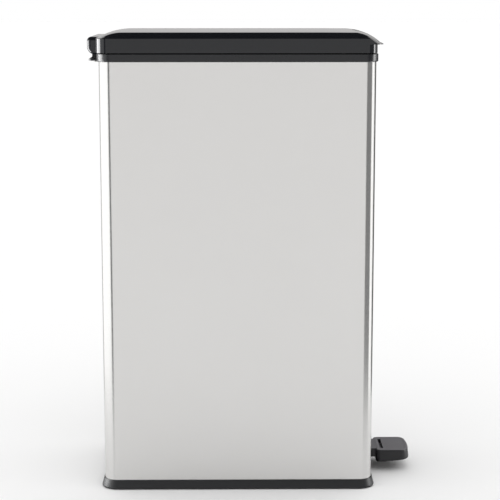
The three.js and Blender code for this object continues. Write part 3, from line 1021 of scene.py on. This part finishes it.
    def hump(self, name: str, inset: float) -> Form:
        """Model the hinge hump, or the hollow inside it.

        Args:
            name: The form's name.
            inset: 0 for the outside, or the wall for the hollow.

        Returns:
            The form.
        """
        radius = self.knuckle - inset
        half = self.hump_half - inset
        rear = self.pin.y + radius
        front = self.pin.y - self.hump_root
        top = self.bottom + self.height - self.rear_fall - inset + self.hump_rise
        foot = self.pin.z - radius
        ends = self.hump_corner - inset
        centre = ((rear + front) / 2, (top + foot) / 2, ends - half)
        side = Form.plate(name, (rear - front, top - foot), 0, centre)
        near = 0.1 * MM
        for level, amount in ((top, self.hump_round - inset / 2), (foot, radius * 0.98)):
            side.round_corners(amount, lambda at: at.x > rear - MM and abs(at.y - level) < near)
        side.rise(2 * (half - ends))
        for end in Side:
            side.pick_end(end)
            side.round_over(ends)
        return side.turn(ACROSS)

    def build(self) -> None:
        """Join the parts of the lid, hollow it and add the hinge lugs."""
        lid = self.cover("lid_cover", 0.0)
        lid.combine(self.hump("hump", 0.0), Merge.ADD)
        lid.combine(self.cover("hollow", self.wall), Merge.CUT)
        lid.combine(self.hump("hump_hollow", self.wall), Merge.CUT)
        for sign in (-1, 1):
            place = sign * self.slot_place
            slot = block(
                "ear_slot",
                (place - self.slot_half, self.back, self.bottom - 20 * MM),
                (place + self.slot_half, self.back + 30 * MM, self.pin.z + self.slot_above_pin),
            )
            lid.combine(slot, Merge.CUT)
            place = sign * self.lug_place
            lug = block(
                "lug",
                (place - self.lug_half, self.pin.y - self.lug_reach, self.pin.z - self.lug_reach),
                (place + self.lug_half, self.pin.y + self.lug_reach, self.pin.z + self.lug_above_pin),
            )
            lid.combine(lug, Merge.ADD)
        lid.smooth(30.0)
        fit(lid, "lid", Finishes.GLOSS, "lid_shell")


# ---- The pedal ----------------------------------------------------------------------------


@dataclass
class Tread:
    """The moulded tread: crowned front, rounded border, set-in panel, slot and neck."""

    width: float = 72 * MM
    depth: float = 52 * MM
    rear_corner: float = 6.5 * MM
    front_corner: float = 11 * MM
    crown: float = 3.5 * MM
    columns: tuple[float, ...] = (-0.3, -0.2, -0.1, 0.0, 0.1, 0.2, 0.3)
    border: float = 2.4 * MM
    border_flat: float = 1.9 * MM
    panel_fall: tuple[tuple[float, float], ...] = ((0.35, -0.1), (0.35, -0.3), (0.4, -0.05))
    lower_edge: float = 1.6 * MM
    front_lift: float = 5 * MM
    draft: float = 1.6 * MM
    slot_length: float = 47 * MM
    slot_width: float = 4.5 * MM
    slot_depth: float = 6 * MM
    slot_inset: float = 9 * MM
    slot_corner: float = 0.9 * MM
    neck_half: float = 26 * MM
    neck_bottom: float = 20 * MM
    neck_drop: float = 0.3 * MM
    neck_edge: float = 0.8 * MM
    neck_root: float = 5 * MM
    lever_bottom: float = 21.5 * MM
    lever_top: float = 26.5 * MM
    lever_gap: float = 0.3 * MM

    def pad(self, low: Vector, high: Vector) -> Form:
        """Model the part that the foot presses.

        Args:
            low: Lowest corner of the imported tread.
            high: Its highest corner.

        Returns:
            The form.
        """
        front, rear = low.y, low.y + self.depth
        centre = (0, (front + rear) / 2, low.z + self.lower_edge)
        pad = Form.plate("tread", (self.width, self.depth), 0, centre)
        pad.round_corners(self.rear_corner, lambda at: at.y > rear - MM, 6)
        pad.round_corners(self.front_corner, lambda at: at.y < front + MM, 14)
        pad.slice_rows(0, [self.width * share for share in self.columns])
        bpy.ops.mesh.select_all(action="SELECT")
        side_height = high.z - low.z - self.lower_edge - self.border
        for share in (0.5, 0.5):
            pad.rise(side_height * share)
        pad.round_over(self.border, 6)
        pad.step(self.border_flat, 0.0)
        for inwards, upwards in self.panel_fall:
            pad.step(inwards * MM, upwards * MM)
        pad.pick_end(Side.BOTTOM)
        pad.round_over(self.lower_edge, 4)

        def rule(point: Vector) -> Vector:
            """Crown the front, lean the sides and lift the underside towards the front.

            Args:
                point: A vertex's place.

            Returns:
                Its new place.
            """
            place = point.copy()
            forward = (rear - point.y) / self.depth
            down = (high.z - point.z) / (high.z - low.z)
            across = point.x / (self.width / 2)
            place.y += self.crown * across * across * forward ** 2
            place.y += self.draft * (1 - down) * forward ** 3
            place.z += self.front_lift * down * (0.5 * forward + 0.5 * forward ** 3)
            return place

        return pad.reshape(rule)

    def build(self) -> None:
        """Join the tread and its neck, and cut the slot and the lever's channel."""
        low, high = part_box("pedal_tread")
        lever_low, lever_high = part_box("pedal_lever")
        tread = self.pad(low, high)
        rear = low.y + self.depth
        neck_size = (2 * self.neck_half, high.y - rear + self.neck_root)
        centre = (0, (high.y + rear - self.neck_root) / 2, self.neck_bottom)
        neck = Form.plate("neck", neck_size, 0, centre)
        neck.rise(high.z - self.neck_drop - self.neck_bottom - self.neck_edge)
        neck.round_over(self.neck_edge, 3)
        tread.combine(neck, Merge.ADD)
        slot_rear = rear - self.slot_inset + self.slot_width / 2
        slot = block(
            "slot",
            (-self.slot_length / 2, slot_rear - self.slot_width, high.z - self.slot_depth),
            (self.slot_length / 2, slot_rear, high.z + MM),
            self.slot_corner,
        )
        tread.combine(slot, Merge.CUT)
        gap = self.lever_gap
        channel = block(
            "lever_channel",
            (lever_low.x - gap, lever_low.y - gap, self.lever_bottom - gap),
            (lever_high.x + gap, high.y + MM, self.lever_top + gap),
        )
        tread.combine(channel, Merge.CUT).smooth(38.0)
        fit(tread, "pedal", Finishes.TREAD, "pedal_tread")


# ---- Inside -------------------------------------------------------------------------------


@dataclass
class Bucket:
    """The lift-out bucket: tapered walls, a rolled flange and two finger grips."""

    wall: float = 2 * MM
    flange: float = 4.5 * MM
    flange_drop: float = 4 * MM
    flange_edge: float = 1.2 * MM
    taper: float = 7 * MM
    corner: float = 14 * MM
    corner_steps: int = 12
    rows: tuple[float, ...] = (0.33, 0.33, 0.34)
    floor_bend: tuple[tuple[float, float], ...] = ((1.2, 2.2), (2.0, 0.8))
    floor_bend_height: float = 3 * MM
    grip_size: tuple[float, float] = (80 * MM, 22 * MM)
    grip_drop: float = 23 * MM
    grip_reach: float = 400 * MM

    def sink(self, bucket: Form, height: float, sign: int) -> None:
        """Draw the walls down to the floor and round its edge.

        Args:
            bucket: The form, with the face to draw down selected.
            height: How far down the floor is.
            sign: 1 outside, where the normals point down, or -1 inside.
        """
        for share in self.rows:
            bucket.rise(-(height - self.floor_bend_height) * share)
        for inwards, downwards in self.floor_bend:
            bucket.step(inwards * MM, sign * downwards * MM)

    def build(self) -> None:
        """Model the bucket from its flange down, then hollow it and cut the grips."""
        low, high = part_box("inner_bucket")
        size, middle = footprint(low, high)
        top = high.z - self.flange_drop
        bucket = Form.plate("bucket", size, self.corner + self.flange, (*middle, top), self.corner_steps)
        bucket.rise(self.flange_drop - self.flange_edge).round_over(self.flange_edge, 4)
        bucket.pick_end(Side.BOTTOM)
        bucket.step(self.flange, 0.0)
        self.sink(bucket, top - low.z, 1)
        bucket.pick_end(Side.TOP)
        bucket.step(self.flange + self.wall - self.flange_edge, 0.0)
        self.sink(bucket, high.z - low.z - self.wall, -1)

        def rule(point: Vector) -> Vector:
            """Draw the walls in towards the bottom.

            Args:
                point: A vertex's place.

            Returns:
                Its new place.
            """
            down = max(0.0, (top - point.z) / (top - low.z))
            place = point.copy()
            for axis in (0, 1):
                narrowing = down * self.taper / (size[axis] / 2)
                place[axis] = middle[axis] + (point[axis] - middle[axis]) * (1 - narrowing)
            return place

        bucket.reshape(rule)
        grip_centre = (middle[1], high.z - self.grip_drop, -self.grip_reach / 2)
        grip = Form.plate("grip", self.grip_size, self.grip_size[1] * 0.499, grip_centre)
        grip.rise(self.grip_reach).turn(ACROSS)
        bucket.combine(grip, Merge.CUT).smooth()
        fit(bucket, "can", Finishes.GREY, "inner_bucket")


@dataclass
class Liner:
    """The panel that closes the underside of the lid."""

    corner: float = 14.5 * MM
    edge: float = 0.6 * MM
    border: float = 11 * MM
    groove: float = 0.6 * MM
    hole_radius: float = 1.8 * MM
    hole_reach: float = 20 * MM

    def build(self) -> None:
        """Model the panel with a set-in field on its underside and clear its screws."""
        low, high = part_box("lid_liner")
        size, middle = footprint(low, high)
        liner = Form.plate("lid_panel", size, self.corner, (*middle, low.z + self.edge))
        liner.rise(high.z - low.z - self.edge)
        liner.pick_end(Side.BOTTOM)
        liner.round_over(self.edge, 3)
        liner.step(self.border, 0.0)
        liner.step(self.groove, -self.groove)
        for part in frame["record"]["subparts"]:
            if part["node"].startswith(("liner_screw", "horn_screw")):
                place = footprint(*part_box(part["node"]))[1]
                hole = Form.rod("hole", self.hole_radius, (*place, low.z - self.hole_reach / 4), 20)
                liner.combine(hole.rise(self.hole_reach), Merge.CUT)
        liner.smooth()
        fit(liner, "lid", Finishes.GREY, "lid_liner")


# ---- Light, floor and camera --------------------------------------------------------------


@dataclass(frozen=True)
class Card:
    """A tall glowing or dark card that only reflections show.

    Its place is given from one of the body's corners, as angles from the camera side.
    """

    name: str
    front: bool
    start: float
    stop: float
    glow: float
    distance: float = 0.55
    height: float = 0.95

    def outwards(self) -> Vector:
        """The level direction from the body's corner to the card's middle."""
        middle = math.radians((self.start + self.stop) / 2)
        return Vector((-math.cos(middle), math.sin(middle) * (-1.0 if self.front else 1.0), 0.0))

    def width(self) -> float:
        """How wide the card is at its distance."""
        return 2 * self.distance * math.tan(math.radians((self.stop - self.start) / 2))

    def corner(self) -> Vector:
        """The body's corner that the card is placed from, on the floor."""
        low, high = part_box("outer_shell")
        inset = SteelBody.corner
        return Vector((low.x + inset, low.y + inset if self.front else high.y - inset, 0.0))

    def middle(self) -> Vector:
        """The card's middle."""
        return self.corner() + self.outwards() * self.distance + Vector((0, 0, self.height / 2))

    def build(self) -> None:
        """Stand the card on the floor, facing the corner."""
        outwards = self.outwards()
        leave_edit_mode()
        bpy.ops.mesh.primitive_plane_add(size=1.0, location=(0, 0, 0))
        card = bpy.context.object
        card.name = self.name
        stand = Matrix.Rotation(math.pi / 2, 4, "Y") @ Matrix.Diagonal((self.height, self.width(), 1, 1))
        turn = Matrix.Rotation(math.atan2(outwards.y, outwards.x), 4, "Z")
        card.data.transform(Matrix.Translation(self.middle()) @ turn @ stand)
        material = bpy.data.materials.new(f"{self.name}_glow")
        material.use_nodes = True
        graph = Graph(material.node_tree)
        glow = graph.node("ShaderNodeEmission", {}, {"Color": (1, 1, 1, 1), "Strength": self.glow})
        graph.node("ShaderNodeOutputMaterial", {}, {"Surface": glow.outputs[0]})
        card.data.materials.append(material)
        card.visible_camera = False
        card.visible_diffuse = False
        card.visible_shadow = False


@dataclass
class Studio:
    """A pale floor, soft light, reflection cards and the camera."""

    floor_size: float = 60.0
    floor_tone: float = 0.9
    sky_energy: float = 3.1
    sky_angle: float = 120.0
    lens: float = 111.4
    camera_place: tuple[float, float, float] = (-2.318, 0.0279, 0.735)
    camera_aim: tuple[float, float, float] = (0.0, 0.0047, 0.3386)
    cards: tuple[Card, ...] = (
        Card("rear_gap", False, 25, 39, 0.2),
        Card("rear_box", False, 39, 132, 1.5),
        Card("rear_dim", False, 134, 172, 0.6),
        Card("front_flag", True, 38, 86, 0.27),
        Card("front_strip", True, 87, 114, 1.45),
        Card("front_dark", True, 124, 177, 0.12, height=0.68),
    )
    boxes: tuple[Card, ...] = (
        Card("rear_edge_light", False, 72, 116, 13.0, 0.53, 0.7),
        Card("front_edge_light", True, 82, 101, 9.0, 0.53, 0.7),
    )

    def floor(self) -> None:
        """Lay a large pale floor."""
        leave_edit_mode()
        bpy.ops.mesh.primitive_plane_add(size=self.floor_size, location=(0, 0, 0))
        floor = bpy.context.object
        floor.name = "studio_floor"
        material = bpy.data.materials.new("floor_paint")
        material.use_nodes = True
        colour = (*(self.floor_tone,) * 3, 1.0)
        Graph(material.node_tree).surface(base_color=colour, roughness=1.0, specular_ior_level=0.0)
        floor.data.materials.append(material)

    def world(self) -> None:
        """Surround the bin with white that falls to dark overhead for what it lights."""
        world = bpy.data.worlds.new("studio")
        bpy.context.scene.world = world
        world.use_nodes = True
        graph = Graph(world.node_tree)
        direction = graph.node("ShaderNodeTexCoord").outputs["Generated"]
        split = graph.node("ShaderNodeSeparateXYZ", {}, {0: direction})
        height = Value(graph, split.outputs["Z"])
        beyond = graph.ramp(Value(graph, split.outputs["X"]), -0.2, 0.9)
        overhead = graph.ramp(height, 0.08, 0.62)
        strength = (1.0 - beyond * 0.42) * (1.0 - overhead) + 0.02
        lit = graph.node("ShaderNodeBackground", {}, {"Color": (1, 0.985, 0.98, 1), "Strength": strength})
        seen = graph.node("ShaderNodeBackground", {}, {"Color": (1, 1, 1, 1), "Strength": 1.0})
        ray = graph.node("ShaderNodeLightPath").outputs["Is Camera Ray"]
        mixed = graph.node("ShaderNodeMixShader", {}, {0: ray, 1: lit.outputs[0], 2: seen.outputs[0]})
        graph.node("ShaderNodeOutputWorld", {}, {"Surface": mixed.outputs[0]})

    def sky(self) -> None:
        """Light everything softly from above."""
        data = bpy.data.lights.new("soft_sky", "SUN")
        data.energy = self.sky_energy
        data.angle = math.radians(self.sky_angle)
        light = bpy.data.objects.new("soft_sky", data)
        bpy.context.scene.collection.objects.link(light)
        light.visible_glossy = False

    def edge_light(self, box: Card, receivers: bpy.types.Collection) -> None:
        """Hang a strong soft light that only the plastic sees.

        Args:
            box: Its place, size and brightness, as a card's.
            receivers: The pieces that it lights.
        """
        data = bpy.data.lights.new(box.name, "AREA")
        data.shape = "RECTANGLE"
        data.size, data.size_y = box.width(), box.height
        data.energy = box.glow * math.pi * data.size * data.size_y
        light = bpy.data.objects.new(box.name, data)
        bpy.context.scene.collection.objects.link(light)
        light.location = box.middle()
        light.rotation_euler = (-box.outwards()).to_track_quat("-Z", "Z").to_euler()
        light.visible_camera = False
        light.light_linking.receiver_collection = receivers

    def camera(self) -> None:
        """Stand the camera off the bin's side, a little above the lid."""
        data = bpy.data.cameras.new("camera")
        data.lens = self.lens
        camera = bpy.data.objects.new("camera", data)
        bpy.context.scene.collection.objects.link(camera)
        camera.location = self.camera_place
        aim = Vector(self.camera_aim) - camera.location
        camera.rotation_euler = aim.to_track_quat("-Z", "Y").to_euler()
        data.clip_end = self.floor_size
        bpy.context.scene.camera = camera

    def build(self) -> None:
        """Set up everything round the bin."""
        self.floor()
        self.world()
        self.sky()
        plastic = bpy.data.collections.new("lit_plastic")
        finishes = {finish.material() for finish in Finishes if finish.plastic}
        for piece in bpy.context.scene.objects:
            if finishes & {slot.material for slot in piece.material_slots}:
                plastic.objects.link(piece)
        for card in self.cards:
            card.build()
        for box in self.boxes:
            self.edge_light(box, plastic)
        self.camera()
        bpy.context.scene.view_settings.view_transform = "Standard"


def dress_remaining() -> None:
    """Give each model node that still shows a procedural finish."""
    by_slot = {
        "zinc_steel": Finishes.ZINC,
        "gloss_black": Finishes.GLOSS,
        "satin_black": Finishes.SATIN,
        "grey_plastic": Finishes.GREY,
        "rubber_black": Finishes.RUBBER,
        "body_steel": Finishes.BODY,
    }
    for part in frame["record"]["subparts"]:
        node = frame["nodes"][part["node"]]
        node.data.materials.clear()
        node.data.materials.append(by_slot[part["material_slot"]].material())


def main() -> None:
    """Build the bin, then the studio."""
    logging.basicConfig(level=logging.INFO)
    dress_remaining()
    SteelBody().build()
    Base().build()
    Rim().build()
    Lid().build()
    Tread().build()
    Bucket().build()
    Liner().build()
    Studio().build()
    leave_edit_mode()


if __name__ == "__main__":
    main()
